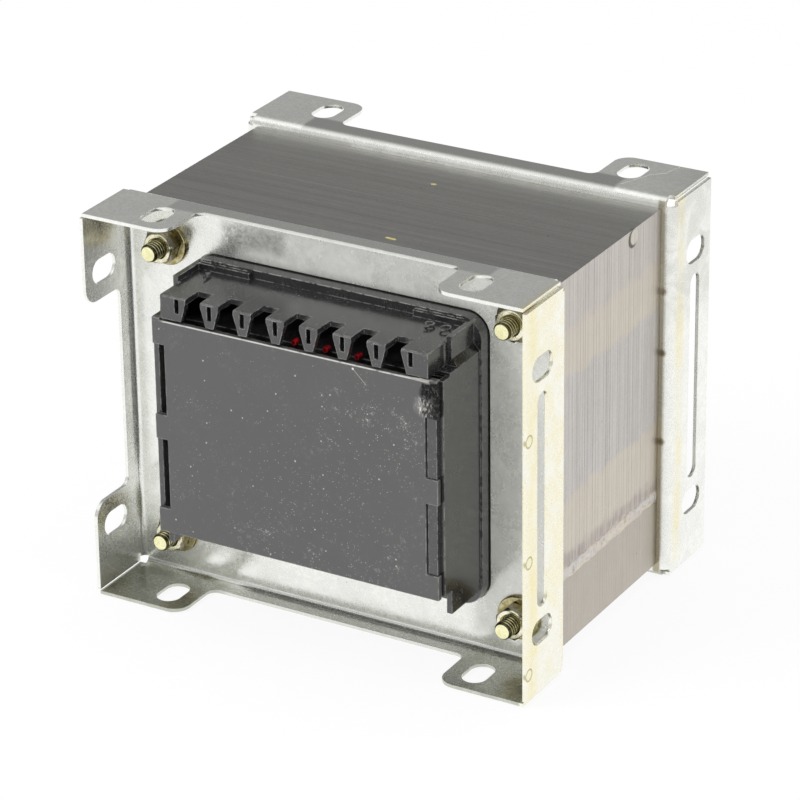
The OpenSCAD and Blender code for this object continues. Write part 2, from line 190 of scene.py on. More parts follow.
def make_hairlines():
    """Fine scratches that run along one direction, from a field stretched by Stretch."""
    group, tree, given, out = effect("hairlines", ("Mask",), Stretch=(1, 1, 1), Width=0.02, Bend=0.4)
    place = tree.vector("MULTIPLY", given["Vector"], given["Stretch"])
    field = tree.add("ShaderNodeTexNoise", {"Vector": place, "Scale": 1.0, "Detail": 1.0,
                                            "Distortion": given["Bend"]})
    off = tree.math("ABSOLUTE", tree.math("SUBTRACT", field.outputs[0], 0.5))
    line = tree.span(off, 0.0, given["Width"], 1.0, 0.0)
    broken = tree.add("ShaderNodeTexNoise", {"Vector": tree.scaled(given["Vector"], 0.11),
                                             "Scale": 1.0, "Detail": 2.0})
    tree.put(out["Mask"], tree.math("MULTIPLY", line, tree.span(broken.outputs[0], 0.48, 0.62)))
    return group


def make_streaks():
    """Drawn grain: a noise field stretched by Stretch, 0 to 1."""
    group, tree, given, out = effect("drawn_grain", ("Value",), Stretch=(1, 1, 1), Low=0.35, High=0.65)
    place = tree.vector("MULTIPLY", given["Vector"], given["Stretch"])
    field = tree.add("ShaderNodeTexNoise", {"Vector": place, "Scale": 1.0, "Detail": 4.0,
                                            "Roughness": 0.65})
    tree.put(out["Value"], tree.span(field.outputs[0], given["Low"], given["High"]))
    return group


def make_spot():
    """Round spot round a centre."""
    group, tree, given, out = effect("spot", ("Mask",), Centre=(0, 0, 0), Radius=1.0, Blur=0.3)
    distance = tree.vector("LENGTH", tree.vector("SUBTRACT", given["Vector"], given["Centre"]))
    inner = tree.math("SUBTRACT", given["Radius"], given["Blur"])
    tree.put(out["Mask"], tree.span(distance, inner, given["Radius"], 1.0, 0.0))
    return group


def make_scratch():
    """Straight mark between two points."""
    group, tree, given, out = effect("straight_mark", ("Mask",), Start=(0, 0, 0), End=(1, 0, 0),
                                     Width=0.2)
    along = tree.vector("SUBTRACT", given["End"], given["Start"])
    away = tree.vector("SUBTRACT", given["Vector"], given["Start"])
    square = tree.vector("DOT_PRODUCT", along, along)
    share = tree.math("DIVIDE", tree.vector("DOT_PRODUCT", away, along), square)
    share = tree.math("MINIMUM", tree.math("MAXIMUM", share, 0.0), 1.0)
    distance = tree.vector("LENGTH", tree.vector("SUBTRACT", away, tree.scaled(along, share)))
    half = tree.math("MULTIPLY", given["Width"], 0.5)
    tree.put(out["Mask"], tree.span(distance, tree.math("MULTIPLY", half, 0.5), half, 1.0, 0.0))
    return group


def make_zone():
    """Soft-edged block between two corners."""
    group, tree, given, out = effect("zone", ("Mask",), Low=(0, 0, 0), High=(1, 1, 1), Blur=1.0)
    below = tree.vector("SUBTRACT", given["Low"], given["Vector"])
    above = tree.vector("SUBTRACT", given["Vector"], given["High"])
    parts = tree.add("ShaderNodeSeparateXYZ", {"Vector": tree.vector("MAXIMUM", below, above)}).outputs
    outside = tree.math("MAXIMUM", tree.math("MAXIMUM", parts[0], parts[1]), parts[2])
    tree.put(out["Mask"], tree.span(outside, tree.math("MULTIPLY", given["Blur"], -0.5),
                                    tree.math("MULTIPLY", given["Blur"], 0.5), 1.0, 0.0))
    return group


def make_sheet_lines():
    """One random shade for each lamination, and the dark gap between two."""
    group, tree, given, out = effect("sheet_lines", ("Shade", "Gap"), Pitch=0.5, Gap=0.2)
    depth = tree.add("ShaderNodeSeparateXYZ", {"Vector": given["Vector"]}).outputs[1]
    count = tree.math("DIVIDE", depth, given["Pitch"])
    whole = tree.math("FLOOR", count)
    shade = tree.add("ShaderNodeTexWhiteNoise", {"W": whole}, noise_dimensions="1D")
    part = tree.math("ABSOLUTE", tree.math("SUBTRACT", tree.math("SUBTRACT", count, whole), 0.5))
    tree.put(out["Shade"], shade.outputs["Value"])
    edge = tree.math("SUBTRACT", 0.5, given["Gap"])
    tree.put(out["Gap"], tree.span(part, edge, 0.5))
    return group


def make_edge_rub_and_highlight():
    """Mask along convex and concave edges, broken up by noise: rubbed edges and painted edge highlights."""
    group, tree, given, out = effect("edge_rub_and_highlight", ("Mask",), Radius=0.0004, Grain=1.0)
    rounded = tree.add("ShaderNodeBevel", {"Radius": given["Radius"]}, samples=3)
    plain = tree.add("ShaderNodeNewGeometry").outputs["Normal"]
    turn = tree.math("SUBTRACT", 1.0, tree.vector("DOT_PRODUCT", rounded.outputs[0], plain))
    broken = tree.add("ShaderNodeTexNoise", {"Vector": tree.scaled(given["Vector"], given["Grain"]),
                                             "Scale": 1.0, "Detail": 3.0})
    tree.put(out["Mask"], tree.math("MULTIPLY", tree.span(turn, 0.004, 0.06),
                                    tree.span(broken.outputs[0], 0.38, 0.56)))
    return group


PATCHES = make_patches()
SPECKS = make_specks()
HAIRLINES = make_hairlines()
STREAKS = make_streaks()
SPOT = make_spot()
SCRATCH = make_scratch()
ZONE = make_zone()
SHEET_LINES = make_sheet_lines()
EDGE_RUB_AND_HIGHLIGHT = make_edge_rub_and_highlight()


def rgb(red, green, blue):
    """Colour from 0..255 display values."""
    def linear(value):
        share = value / 255
        return share / 12.92 if share <= 0.04045 else ((share + 0.055) / 1.055) ** 2.4
    return (linear(red), linear(green), linear(blue), 1.0)


class Finish(Tree):
    """One material under way: its Principled shader and the colour laid on so far, in millimetres."""

    def __init__(self, name, metallic, **sockets):
        self.material = bpy.data.materials.new(name)
        self.material.use_nodes = True
        super().__init__(self.material.node_tree)
        self.shader = self.nodes["Principled BSDF"].inputs
        self.shader["Metallic"].default_value = metallic
        for label, value in sockets.items():
            self.shader[label.replace("_", " ")].default_value = value
        self.place = self.millimetres()
        self.colour = None

    def patches(self, size, low, high, warp=0.3):
        return self.use(PATCHES, Vector=self.place, Size=size, Low=low, High=high, Warp=warp)["Value"]

    def specks(self, spacing, radius, share):
        return self.use(SPECKS, Vector=self.place, Spacing=spacing, Radius=radius, Share=share)["Mask"]

    def hairlines(self, stretch, width, bend):
        return self.use(HAIRLINES, Vector=self.place, Stretch=stretch, Width=width, Bend=bend)["Mask"]

    def streaks(self, stretch, low, high):
        return self.use(STREAKS, Vector=self.place, Stretch=stretch, Low=low, High=high)["Value"]

    def spot(self, centre, radius, blur):
        return self.use(SPOT, Vector=self.place, Centre=centre, Radius=radius, Blur=blur)["Mask"]

    def zone(self, low, high, blur):
        return self.use(ZONE, Vector=self.place, Low=low, High=high, Blur=blur)["Mask"]

    def rub_and_highlight(self, radius, grain):
        return self.use(EDGE_RUB_AND_HIGHLIGHT, Vector=self.place, Radius=radius, Grain=grain)["Mask"]

    def scratch(self, width, *corners):
        """Mark that runs straight from corner to corner."""
        return self.highest(*(
            self.use(SCRATCH, Vector=self.place, Start=start, End=end, Width=width)["Mask"]
            for start, end in zip(corners, corners[1:])))

    def product(self, first, *others):
        for other in others:
            first = self.math("MULTIPLY", first, other)
        return first

    def highest(self, first, *others):
        for other in others:
            first = self.math("MAXIMUM", first, other)
        return first

    def line(self, value, slope, start):
        return self.math("MULTIPLY_ADD", value, slope, start)

    def total(self, start, *shares):
        """A start value plus masks, each paired with its share."""
        for value, share in shares:
            start = self.math("MULTIPLY_ADD", value, share, start)
        return start

    def paint(self, tint, *masks):
        """Lays a tint over the colour so far, where every mask is high."""
        self.colour = self.mix(self.product(*masks), self.colour, tint)

    def done(self, rough, relief, depth):
        """Joins colour, roughness and a relief of so many millimetres to the shader."""
        self.put(self.shader["Base Color"], self.colour)
        self.put(self.shader["Roughness"], rough)
        raised = self.add("ShaderNodeBump", {"Height": relief, "Distance": depth * MM, "Strength": 1.0})
        self.put(self.shader["Normal"], raised.outputs[0])
        return self.material


# ---- sizes that finishes and pieces share ----


def bolt_centre(corner):
    """Place of a through bolt across and up, in millimetres."""
    low, high = node_box("nut_" + corner)
    return ((low[0] + high[0]) / 2, (low[2] + high[2]) / 2)


SHEETS = 113
LAMINATION_PITCH = (core_high[1] - core_low[1]) / SHEETS
CORNERS = ("upper_left", "upper_right", "lower_left", "lower_right")
BOLTS_ACROSS = bolt_centre("upper_right")[0]
BOLTS_MIDDLE = (bolt_centre("upper_right")[1] + bolt_centre("lower_right")[1]) / 2
BOLTS_UP = bolt_centre("upper_right")[1] - BOLTS_MIDDLE
LEDGE_RISE = 1.6
NOTCH_DEPTH = 6.2
HOOD_TOP = hood_high[2] - LEDGE_RISE
OPENINGS_BACK = hood_low[1] + NOTCH_DEPTH


# ---- finishes ----


def zinc_plated_steel():
    """Bright zinc plating on the end frames: cloudy grains, yellow passivation, stains and scratches."""
    zinc = Finish("zinc_plated_steel", 0.85)
    large = zinc.patches(9.0, 0.38, 0.62, 0.8)
    small = zinc.patches(1.1, 0.36, 0.66, 0.5)
    fine = zinc.patches(0.35, 0.3, 0.7, 0.0)
    cloud_share = zinc.line(large, -0.25, 1.0)
    zinc.colour = zinc.mix(small, rgb(244, 245, 240), rgb(254, 254, 249))
    zinc.paint(rgb(232, 234, 228), large, 0.3)
    # Yellow passivation along the plain side flanges, strongest in upright bands
    side = zinc.zone((61.5, -60, -5), (70, 10, 120), 1.5)
    zinc.paint(rgb(249, 244, 218), side, zinc.line(large, 0.65, 0.35))
    bands = zinc.highest(zinc.zone((62.5, -47.5, 0), (70, -43.5, 110), 3.0),
                         zinc.zone((62.5, 31.0, 4), (70, 34.5, 107), 4.0))
    torn = zinc.patches(14.0, 0.4, 0.6, 0.2)
    zinc.paint(rgb(246, 236, 186), bands, zinc.line(torn, 0.55, 0.32))
    # Yellow stain rings near the plain flange's free edge
    for height in (71.9, 39.3, 8.4):
        centre = (63.4, frame_low[1] + 1.6, height)
        inner = zinc.spot(centre, 1.5, 0.4)
        zinc.paint(rgb(164, 152, 68), zinc.spot(centre, 1.95, 0.4), zinc.math("SUBTRACT", 1.0, inner), 0.8)
        zinc.paint(rgb(244, 238, 190), inner, 0.45)
    # Dull olive strip in the rear frame's outer bend beside the core, painted shade and reflection of the
    # core, with brown spots
    zinc.paint(rgb(158, 148, 116), zinc.zone((59, 27, 1), (61.0, 29.6, 106), 0.7), 0.85)
    for height in (81.5, 64.5, 39.5):
        zinc.paint(rgb(96, 78, 26), zinc.spot((60.7, 28.3, height), 1.5, 1.1), 0.85)
    # Duller zinc on the lower flanges and their ears, less so in the middle
    lower = zinc.zone((-70, -60, -2), (61.5, 60, 1.6), 1.0)
    middle = zinc.zone((-34, -60, -2), (36, 60, 3), 6.0)
    zinc.paint(rgb(190, 192, 180), lower, zinc.line(middle, -0.6, 1.0), cloud_share)
    # Painted shade on the narrow up-facing strips of the upper flanges between their ears, stronger on the
    # rear
    painted_shade_strips = zinc.zone((-46, -36, 106.3), (46, 36, 109), 1.5)
    rearward = zinc.zone((-46, 0, 106.3), (46, 36, 109), 1.5)
    zinc.paint(rgb(190, 191, 186), painted_shade_strips, zinc.line(rearward, 0.3, 0.65))
    # Plates above the hoods and beside the plain flanges, matt from handling
    above = zinc.zone((-30, -31, 94), (62, 31, 104.5), 5.0)
    beside = zinc.zone((38, -31, 6), (62, 31, 100), 6.0)
    matt = zinc.product(zinc.highest(above, beside), cloud_share)
    zinc.put(zinc.shader["Metallic"], zinc.line(matt, -0.7, 0.85))
    rear_side = zinc.zone((61.5, 26, 76), (70, 60, 120), 24.0)
    zinc.paint(rgb(204, 203, 196), rear_side, zinc.line(large, 0.5, 0.3))
    smudge = zinc.zone((-34, -31, 97), (-16, -27, 103), 3.5)
    zinc.paint(rgb(120, 120, 116), smudge, zinc.line(small, 0.35, 0.35))
    # Scratch across the rear frame's upper right ear
    scratch = zinc.scratch(0.42, (46.6, 31.5, 107), (50.5, 41.0, 107), (53.4, 43.5, 107),
                           (54.9, 50.3, 107))
    hair = zinc.hairlines((0.9, 0.9, 0.12), 0.012, 0.3)
    dull = zinc.highest(scratch, zinc.product(hair, 0.2))
    zinc.paint(rgb(253, 252, 244), dull)
    zinc.paint(rgb(110, 106, 90), zinc.specks(2.6, 0.2, 0.3), small, 0.5)
    zinc.paint(rgb(252, 250, 240), zinc.rub_and_highlight(0.0004, 0.8), 0.5)
    rough = zinc.total(0.15, (small, 0.1), (large, 0.07), (dull, 0.45))
    relief = zinc.total(0.0, (small, 0.6), (fine, 0.25), (scratch, -0.6), (large, 0.5))
    return zinc.done(rough, relief, 0.011)


def lamination_steel(name, top_shade, side_shade, lining):
    """Bare sheet edges of the core: one shade a sheet, drawn grain, heat tints and varnish bands."""
    steel = Finish(name, 1.0)
    lines = steel.use(SHEET_LINES, Vector=steel.place, Pitch=LAMINATION_PITCH, Gap=0.22)
    grain = steel.patches(0.7, 0.25, 0.75, 0.3)
    coarse = steel.streaks((0.01, 0.5, 0.02), 0.35, 0.65)
    drift = steel.patches(5.0, 0.2, 0.8, 0.4)
    height = steel.add("ShaderNodeSeparateXYZ", {"Vector": steel.place}).outputs[2]
    level = steel.math("ADD", height, steel.line(drift, 3.0, -1.5))
    # Varnish on the sides: a lilac-grey lined stretch between two smooth beige ones
    lilac = steel.product(steel.span(level, 44.0, 46.0), steel.span(level, 76.0, 78.0, 1.0, 0.0))
    upper = steel.span(level, 88.0, 92.0)
    lined = steel.product(steel.highest(lilac, steel.product(upper, 0.7)), lining)
    side = steel.mix(steel.product(lined, 0.9), side_shade, rgb(206, 202, 199))
    facing = steel.add("ShaderNodeNewGeometry").outputs["Normal"]
    upward = steel.add("ShaderNodeSeparateXYZ", {"Vector": facing}).outputs[2]
    flat = steel.span(steel.math("ABSOLUTE", upward), 0.4, 0.7)
    steel.colour = steel.mix(flat, side, top_shade)
    shade = steel.product(steel.line(lines["Shade"], 0.15, 0.91), steel.line(coarse, 0.1, 0.95),
                          steel.line(grain, 0.12, 0.94))
    tone = steel.add("ShaderNodeCombineColor", {"Red": shade, "Green": shade, "Blue": shade}).outputs[0]
    strength = steel.highest(steel.line(lined, 0.6, 0.1 + 0.3 * lining), steel.product(flat, 0.35))
    steel.paint(steel.mix(1.0, steel.colour, tone, "MULTIPLY"), strength)
    steel.paint(rgb(84, 78, 72), lines["Gap"], strength, 0.2)
    # Heat tint just above the weld
    heat = steel.product(steel.span(level, 25.0, 26.2), steel.span(level, 27.5, 31.0, 1.0, 0.0))
    steel.paint(rgb(140, 128, 132), heat, steel.line(lines["Shade"], 0.5, 0.15), lining)
    scratch = steel.hairlines((0.06, 0.5, 0.25), 0.01, 1.4)
    steel.paint(rgb(232, 228, 220), scratch, 0.3)
    steel.paint(rgb(92, 84, 72), steel.specks(6.0, 0.24, 0.3), 0.55)
    # Pale varnish rims that show beside the chips on the top
    for centre in ((10.2, -21.3, 104.1), (1.5, 15.5, 104.1)):
        steel.paint(rgb(214, 206, 176), steel.spot(centre, 0.7, 0.4), 0.85)
    # Half-moon press mark near the top of the right side, with no dent in the shape: painted highlight
    # inside, painted shade round its rim
    dimple_highlight = steel.spot((60.0, 13.2, 101.9), 2.3, 0.5)
    steel.paint(rgb(228, 222, 208), dimple_highlight, 0.5)
    steel.paint(rgb(84, 78, 62), steel.spot((60.0, 12.4, 101.7), 2.7, 0.5),
                steel.math("SUBTRACT", 1.0, dimple_highlight), 0.85)
    # Straw-coloured chips of dried varnish lying on the top
    top = core_high[2]
    chips = steel.highest(steel.scratch(1.2, (1.2, 15.3, top), (1.8, 15.3, top)),
                          steel.scratch(1.2, (8.9, -20.9, top), (11.1, -21.1, top)))
    steel.paint(rgb(190, 178, 112), chips)
    steel.put(steel.shader["Metallic"], steel.math("SUBTRACT", 1.0, chips))
    rough = steel.total(0.3, (grain, 0.06), (drift, 0.06), (lined, 0.04))
    edges = steel.total(0.0, (lines["Shade"], 0.4), (lines["Gap"], -0.5), (scratch, -0.4))
    relief = steel.total(steel.product(edges, strength), (grain, 0.35))
    return steel.done(rough, relief, 0.012)


def weld_metal():
    """Weld bead with straw, pink and blue heat colours."""
    weld = Finish("weld_heat_colours", 1.0)
    tones = weld.streaks((0.3, 0.09, 0.35), 0.25, 0.75)
    ramp = weld.add("ShaderNodeValToRGB", {"Fac": tones})
    stops = ((0.0, rgb(204, 203, 198)), (0.3, rgb(218, 212, 190)), (0.5, rgb(214, 201, 192)),
             (0.68, rgb(205, 202, 202)), (1.0, rgb(218, 213, 198)))
    ramp.color_ramp.elements[0].color = stops[0][1]
    ramp.color_ramp.elements[1].color = stops[-1][1]
    for position, tint in stops[1:-1]:
        ramp.color_ramp.elements.new(position).color = tint
    weld.colour = ramp.outputs[0]
    soot = weld.patches(1.3, 0.5, 0.72, 0.6)
    weld.paint(rgb(150, 142, 126), soot, 0.3)
    return weld.done(weld.line(soot, 0.2, 0.3), weld.patches(0.4, 0.3, 0.7, 0.4), 0.02)


def black_plastic(name, shade, dusty, gloss, ior):
    """Moulded black plastic: flow marks, scuffs, dust specks and painted highlights along the edges."""
    black = Finish(name, 0.0, IOR=ior)
    cloud = black.patches(7.0, 0.35, 0.7, 0.5)
    fine = black.patches(0.3, 0.3, 0.7, 0.0)
    faded = black.mix(0.25, shade, rgb(112, 110, 106))
    black.colour = black.mix(black.product(cloud, 0.25), shade, faded)
    scuffs = black.hairlines((0.7, 0.5, 0.35), 0.012, 1.8)
    black.paint(rgb(150, 148, 142), scuffs, 0.25)
    crowd = black.patches(8.0, 0.44, 0.64, 0.6)
    small = black.product(black.specks(0.8, 0.14, 0.7), black.line(crowd, 0.8, 0.1))
    large = black.product(black.specks(2.6, 0.22, 0.35), 0.75)
    specks = black.product(black.highest(small, large), dusty)
    black.paint(rgb(208, 206, 200), specks)
    # Painted highlights along the edges, brightest on the lip behind the terminal openings and along the
    # ridges
    lip = black.zone((-45, OPENINGS_BACK - 0.5, HOOD_TOP - 0.5),
                     (45, OPENINGS_BACK + 0.6, HOOD_TOP + 0.4), 0.3)
    ridges = black.zone((-45, OPENINGS_BACK + 4.0, HOOD_TOP + 0.8),
                        (45, -core_high[1], HOOD_TOP + 4.0), 0.3)
    edge_highlight = black.line(black.highest(lip, ridges), 0.6, 0.35)
    black.paint(rgb(214, 213, 208), black.rub_and_highlight(0.0004, 0.5), edge_highlight)
    rough = black.total(gloss, (cloud, 0.08), (scuffs, 0.25), (specks, 0.4), (fine, 0.04))
    relief = black.total(0.0, (fine, 0.35), (cloud, 0.6), (scuffs, -0.5), (specks, 0.8))
    black.done(rough, relief, 0.01)
    return black


def cover_plastic():
    """The covers' plastic; the front one has lint, a nick, a scratch and a burnt corner."""
    cover = black_plastic("cover_moulding", rgb(76, 75, 75), 1.0, 0.34, 1.7)
    front = cover_low[1]
    mark = cover.scratch(0.24, (17.2, front, 83.2), (21.1, front, 79.4))
    cover.paint(rgb(186, 184, 178), mark, 0.6)
    cover.paint(rgb(225, 224, 220), cover.spot((17.4, front, 83.0), 0.4, 0.25))
    # Lint and fluff in loose patches, thickest towards the upper right
    thick = cover.spot((22.0, front, 64.0), 24.0, 20.0)
    below = cover.spot((8.0, front, 28.0), 36.0, 22.0)
    thick = cover.highest(thick, cover.product(below, 0.7))
    lint = cover.hairlines((0.7, 0.7, 0.7), 0.06, 2.5)
    short = cover.patches(1.3, 0.56, 0.64, 0.2)
    cover.paint(rgb(200, 198, 193), lint, short, cover.line(thick, 0.75, 0.15))
    tufts = cover.patches(3.5, 0.48, 0.58)
    cover.paint(rgb(222, 220, 215), cover.specks(0.6, 0.18, 0.45), tufts, thick, 0.8)
    # Burnt plastic round the melted corner, with whitish fibres pulled out of it
    cover.paint(rgb(9, 9, 9), cover.spot((39.4, front + 0.6, 80.6), 3.9, 0.6), 0.95)
    smear = cover.spot((37.0, front, 77.2), 3.4, 2.8)
    fibres = cover.streaks((2.4, 1.0, 0.8), 0.5, 0.6)
    cover.paint(rgb(222, 221, 216), smear, cover.line(fibres, 0.8, 0.2))
    # Painted highlight along the plate's top edge
    top_edge_highlight = cover.zone((-38.5, -60, 83.8), (38.2, front + 0.25, 85), 0.2)
    broken = cover.patches(3.0, 0.3, 0.5, 0.3)
    cover.paint(rgb(214, 213, 208), top_edge_highlight, broken, 0.8)
    cover.put(cover.shader["Base Color"], cover.colour)
    return cover


def melted_plastic():
    """Glossy burnt plastic with whitish fibres pulled over it and a painted highlight along its top edge."""
    burnt = Finish("melted_plastic", 0.0, IOR=1.3)
    fibres = burnt.streaks((2.4, 1.0, 0.8), 0.5, 0.6)
    lumps = burnt.patches(0.7, 0.4, 0.6, 1.0)
    low = burnt.zone((35, -60, 73), (39.2, -50, 79.0), 2.4)
    # Pale band along the top edge: painted highlight; elsewhere the pale is whitish fibres
    ridge = burnt.zone((18, -60, 83.7), (38.8, -50, 86), 0.6)
    veil = burnt.product(low, burnt.line(fibres, 0.9, 0.1))
    pale = burnt.highest(veil, burnt.product(fibres, 0.12), burnt.product(ridge, 0.9))
    burnt.colour = burnt.mix(lumps, rgb(6, 6, 6), rgb(24, 24, 23))
    burnt.paint(rgb(208, 206, 200), pale, 0.85)
    return burnt.done(burnt.line(pale, 0.3, 0.13), burnt.total(0.0, (lumps, 0.6), (fibres, 0.4)), 0.16)


def winding_tape():
    """Grey insulation tape round the winding."""
    tape = Finish("insulation_tape", 0.0, Coat_Weight=0.15)
    fibres = tape.streaks((0.2, 0.2, 4.0), 0.35, 0.65)
    cloud = tape.patches(8.0, 0.35, 0.65, 0.4)
    tape.colour = tape.mix(fibres, rgb(136, 135, 132), rgb(158, 157, 153))
    tape.paint(rgb(112, 111, 108), cloud, 0.35)
    return tape.done(tape.line(cloud, 0.2, 0.38), fibres, 0.03)


def red_sleeve():
    """Red insulation of the lead ends."""
    sleeve = Finish("red_sleeving", 0.0, Coat_Weight=0.3)
    cloud = sleeve.patches(1.4, 0.35, 0.65, 0.6)
    sleeve.colour = sleeve.mix(cloud, rgb(132, 6, 20), rgb(186, 20, 34))
    sleeve.paint(rgb(60, 20, 20), sleeve.specks(0.8, 0.1, 0.4), 0.5)
    return sleeve.done(sleeve.line(cloud, 0.2, 0.3), cloud, 0.03)


def yellow_zinc(name, light, dark, gloss, side_shade_share):
    """Yellow passivated fasteners, darker in the thread grooves, with painted shade on the hexagon sides and
    lighter edges.
    """
    zinc = Finish(name, 1.0)
    cloud = zinc.patches(1.6, 0.35, 0.65, 0.8)
    fine = zinc.patches(0.22, 0.3, 0.7, 0.2)
    zinc.colour = zinc.mix(cloud, light, dark)
    # Distance from the nearest bolt's middle line, for the darker thread grooves and the painted shade on
    # the hexagon sides
    away = zinc.vector("ABSOLUTE", zinc.vector("SUBTRACT", zinc.place, (0, 0, BOLTS_MIDDLE)))
    away = zinc.vector("SUBTRACT", away, (BOLTS_ACROSS, 0, BOLTS_UP))
    radial = zinc.vector("LENGTH", zinc.vector("MULTIPLY", away, (1, 0, 1)))
    # Darker in the thread grooves
    zinc.paint(rgb(50, 42, 18), zinc.span(radial, 1.9, 1.95), zinc.span(radial, 2.34, 2.44, 1.0, 0.0), 0.95)
    # Painted shade on the hexagon sides and their chamfers
    zinc.paint(rgb(80, 69, 38), zinc.span(radial, 3.86, 4.02), side_shade_share)
    zinc.paint(rgb(96, 84, 44), zinc.specks(0.9, 0.1, 0.3), 0.5)
    zinc.paint(rgb(250, 246, 222), zinc.rub_and_highlight(0.0002, 2.0), 0.5)
    return zinc.done(zinc.line(fine, 0.12, gloss), zinc.total(0.0, (fine, 0.3), (cloud, 0.7)), 0.008)


ZINC = zinc_plated_steel()
E_STEEL = lamination_steel("e_sheet_edges", rgb(200, 199, 195), rgb(210, 202, 190), 1.0)
I_STEEL = lamination_steel("i_sheet_edges", rgb(200, 199, 195), rgb(189, 182, 171), 0.0)
WELD = weld_metal()
HOOD_PLASTIC = black_plastic("hood_moulding", rgb(42, 42, 43), 0.25, 0.14, 1.85).material
BOBBIN_PLASTIC = black_plastic("bobbin_moulding", rgb(24, 24, 25), 0.2, 0.25, 1.5).material
COVER_PLASTIC = cover_plastic().material
MELTED_PLASTIC = melted_plastic()
TAPE = winding_tape()
RED = red_sleeve()
BOLT_ZINC = yellow_zinc("bolt_zinc", rgb(253, 251, 206), rgb(244, 238, 184), 0.14, 0.4)
NUT_ZINC = yellow_zinc("nut_zinc", rgb(250, 247, 226), rgb(226, 218, 180), 0.12, 0.7)
WASHER_ZINC = yellow_zinc("washer_zinc", rgb(196, 188, 150), rgb(152, 140, 92), 0.12, 0.0)


# ---- meshes ----


class Shape:
    """Collects the points and faces of one piece."""

    def __init__(self):
        self.points = []
        self.faces = []

    def loops(self, loops, closed=False, capped=True):
        """Skins a row of loops that all have the same number of points."""
        base = len(self.points)
        size = len(loops[0])
        for loop in loops:
            self.points.extend(loop)
        rows = len(loops) if closed else len(loops) - 1
        for row in range(rows):
            here = base + row * size
            there = base + (row + 1) % len(loops) * size
            for step in range(size):
                ahead = (step + 1) % size
                self.faces.append((here + step, here + ahead, there + ahead, there + step))
        if capped and not closed:
            self.faces.append(tuple(base + step for step in range(size)))
            last = base + (len(loops) - 1) * size
            self.faces.append(tuple(last + step for step in reversed(range(size))))

    def piece(self, name, material, stands_for=(), sharp=34.0):
        """Makes the piece from its points in millimetres, with outward normals."""
        mesh = bpy.data.meshes.new(name)
        mesh.from_pydata([Vector(point) * MM for point in self.points], [], self.faces)
        work = bmesh.new()
        work.from_mesh(mesh)
        bmesh.ops.recalc_face_normals(work, faces=work.faces)
        work.to_mesh(mesh)
        work.free()
        mesh.shade_smooth()
        mesh.set_sharp_from_angle(angle=math.radians(sharp))
        mesh.materials.append(material)
        made = bpy.data.objects.new(name, mesh)
        bpy.context.scene.collection.objects.link(made)
        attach(made, BODY)
        if stands_for:
            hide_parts(*stands_for)


def ring(centre, radius_of, depth_of, segments):
    """Loop round an axis along Y; radius and depth may change with the angle."""
    loop = []
    for step in range(segments):
        angle = 2 * math.pi * step / segments
        radius = radius_of(angle)
        loop.append((centre[0] + radius * math.cos(angle), depth_of(angle),
                     centre[1] + radius * math.sin(angle)))
    return loop


def round_ring(centre, radius, depth, segments=48):
    """Plain round loop at one depth."""
    return ring(centre, lambda angle: radius, lambda angle: depth, segments)


def hexagon_radius(angle, turn):
    """Distance from the middle to the side of a nut or bolt head."""
    sector = (angle - turn) % (math.pi / 3) - math.pi / 6
    return FLATS / 2 / math.cos(sector)


# ---- laminated core ----


def sheet_mesh(outline, holes, thickness):
    """Flat sheet with round holes, standing in the X-Z plane and centred on Y = 0."""
    curve = bpy.data.curves.new("sheet_outline", "CURVE")
    curve.dimensions = "2D"
    curve.fill_mode = "BOTH"
    curve.extrude = thickness / 2
    loops = [outline]
    for x, z, radius in holes:
        loops.append([(x + radius * math.cos(math.pi * k / 10), z + radius * math.sin(math.pi * k / 10))
                      for k in range(20)])
    for loop in loops:
        spline = curve.splines.new("POLY")
        spline.points.add(len(loop) - 1)
        for point, (x, z) in zip(spline.points, loop):
            point.co = (x, z, 0, 1)
        spline.use_cyclic_u = True
    holder = bpy.data.objects.new("sheet_outline", curve)
    bpy.context.scene.collection.objects.link(holder)
    bpy.context.view_layer.update()
    flat = bpy.data.meshes.new_from_object(holder.evaluated_get(bpy.context.evaluated_depsgraph_get()))
    points = [(v.co.x, v.co.z, v.co.y) for v in flat.vertices]
    faces = [tuple(p.vertices) for p in flat.polygons]
    bpy.data.objects.remove(holder)
    return points, faces


def stack(name, outline, holes, material, node, seed, loose):
    """A stack of separate sheets, each a little out of line with the next."""
    points, faces = sheet_mesh(outline, holes, LAMINATION_PITCH * 0.99)
    dice = random.Random(seed)
    shape = Shape()
    for sheet in range(SHEETS):
        depth = core_low[1] + (sheet + 0.5) * LAMINATION_PITCH
        across = dice.uniform(-loose, loose)
        rise = dice.uniform(-loose, loose)
        base = len(shape.points)
        shape.points.extend((x + across, y + depth, z + rise) for x, y, z in points)
        shape.faces.extend(tuple(base + index for index in face) for face in faces)
    shape.piece(name, material, (node,))


leg = (core_high[0] - core_low[0]) / 6
half = core_high[0]
seam = core_low[2]
window_top = core_high[2] - leg
bolt_radius = 3.1

e_outline = [(-half, seam), (-half, core_high[2]), (half, core_high[2]), (half, seam),
             (2 * leg, seam), (2 * leg, window_top), (leg, window_top), (leg, seam),
             (-leg, seam), (-leg, window_top), (-2 * leg, window_top), (-2 * leg, seam)]
i_outline = [(-half, yoke_low[2]), (-half, seam), (half, seam), (half, yoke_low[2])]
e_holes = [(*bolt_centre(corner), bolt_radius) for corner in CORNERS[:2]]
i_holes = [(*bolt_centre(corner), bolt_radius) for corner in CORNERS[2:]]
stack("e_laminations", e_outline, e_holes, E_STEEL, "core_e_stack", 11, 0.02)
stack("i_laminations", i_outline, i_holes, I_STEEL, "core_i_stack", 12, 0.008)


